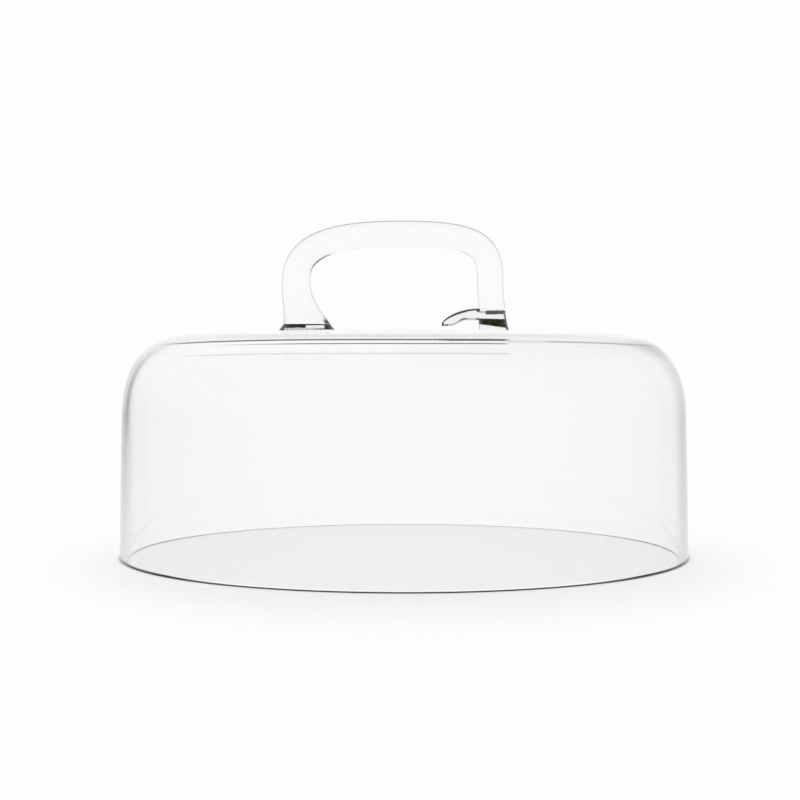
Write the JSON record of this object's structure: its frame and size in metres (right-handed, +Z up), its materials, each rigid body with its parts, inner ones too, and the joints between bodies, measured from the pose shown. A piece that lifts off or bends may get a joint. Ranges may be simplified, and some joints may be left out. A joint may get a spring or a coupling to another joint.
{
  "type": "cake dome",
  "caption": "Clear blown-glass cake cover: a low straight-sided bell with a rounded shoulder and flat crown, lifted by a bent glass-rod handle welded on at its feet.",
  "frame": {"origin": "centre of the bell on the plane that the rim stands on", "axes": "+Z up through the crown, +X along the handle towards the leg with the lobed foot, +Y away from the pictured side"},
  "size_m": [0.28, 0.28, 0.165],
  "materials": {
    "clear_glass": "clear, fire-polished, faintly wavy from blowing",
    "weld_glass": "clear, pressed while hot, dark at its edges"
  },
  "bodies": {
    "root": {"bell": "clear_glass", "handle": "clear_glass", "left_foot_pad": "weld_glass", "right_foot_pad": "weld_glass"}
  },
  "joints": []
}
